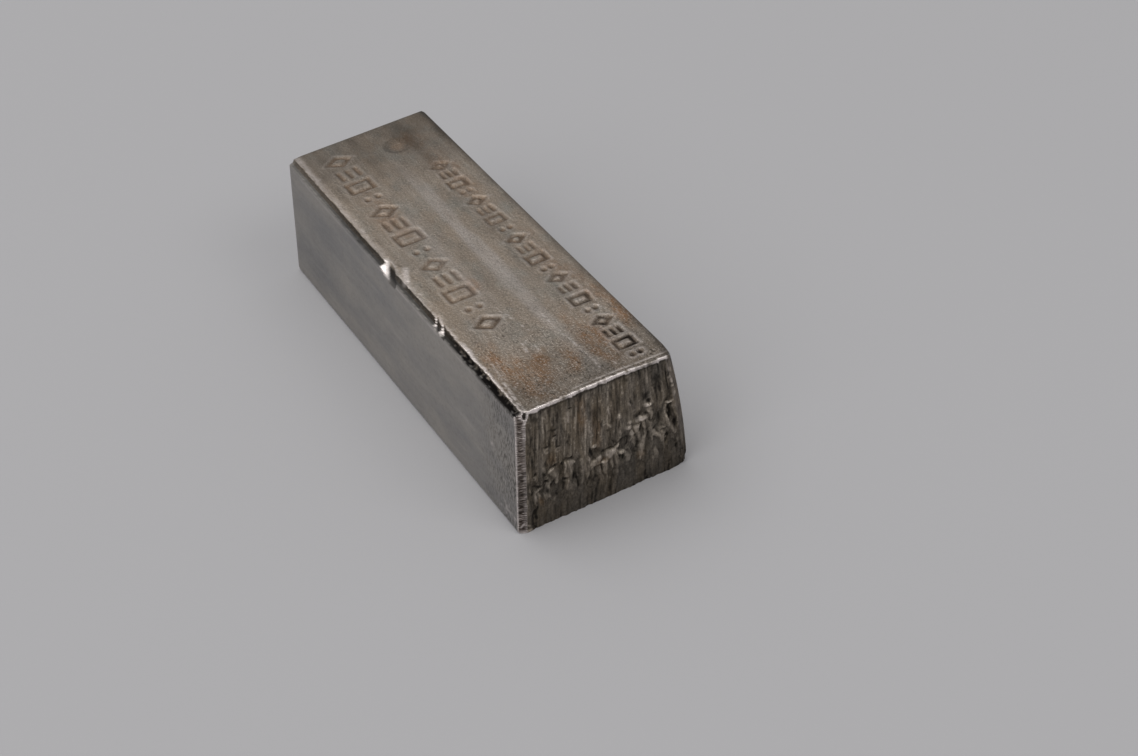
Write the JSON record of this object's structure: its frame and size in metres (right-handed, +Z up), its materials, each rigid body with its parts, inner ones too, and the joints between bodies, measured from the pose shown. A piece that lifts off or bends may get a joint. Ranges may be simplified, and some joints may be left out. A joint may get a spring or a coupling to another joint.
{
  "type": "silver bar",
  "caption": "Short solid bar of tarnished silver stock with a trapezoidal section, a scuffed and nicked long edge, and one torn, sheared end.",
  "frame": {"origin": "middle of the base, on the surface that the bar lies on", "axes": "+Y along the bar from the torn end to the far end, +Z up through the narrower top face"},
  "size_m": [0.0196, 0.0546, 0.0147],
  "materials": {
    "tarnished_silver": "tarnished silver, brown-grey patina with bare metal on the worn edges"
  },
  "bodies": {
    "root": {"silver_bar": "tarnished_silver"}
  },
  "joints": []
}
